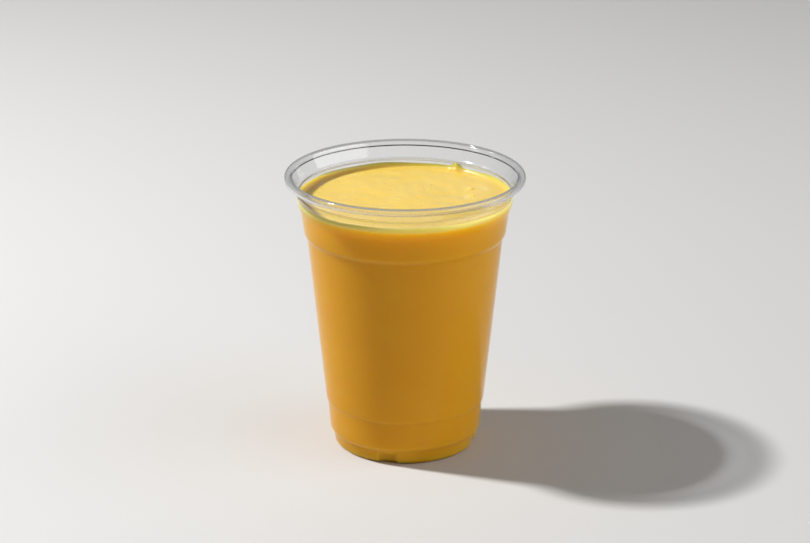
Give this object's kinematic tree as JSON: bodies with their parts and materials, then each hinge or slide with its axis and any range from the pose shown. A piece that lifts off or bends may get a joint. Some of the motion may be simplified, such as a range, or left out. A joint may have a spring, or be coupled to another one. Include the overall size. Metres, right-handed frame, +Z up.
{
  "type": "mango smoothie in a clear cup",
  "caption": "Thick mango smoothie filled to just under the rolled rim of a tapered, stepped, clear disposable cup that stands upright on its foot ring.",
  "frame": {"origin": "middle of the circle that the cup stands on", "axes": "+Z up along the cup's axis, the front faces -Y, +X to its right"},
  "size_m": [0.098, 0.098, 0.116],
  "materials": {
    "clear_plastic": "clear, glossy",
    "mango_drink": "creamy, slightly wet"
  },
  "bodies": {
    "root": {"cup": "clear_plastic", "smoothie": "mango_drink"}
  },
  "joints": []
}
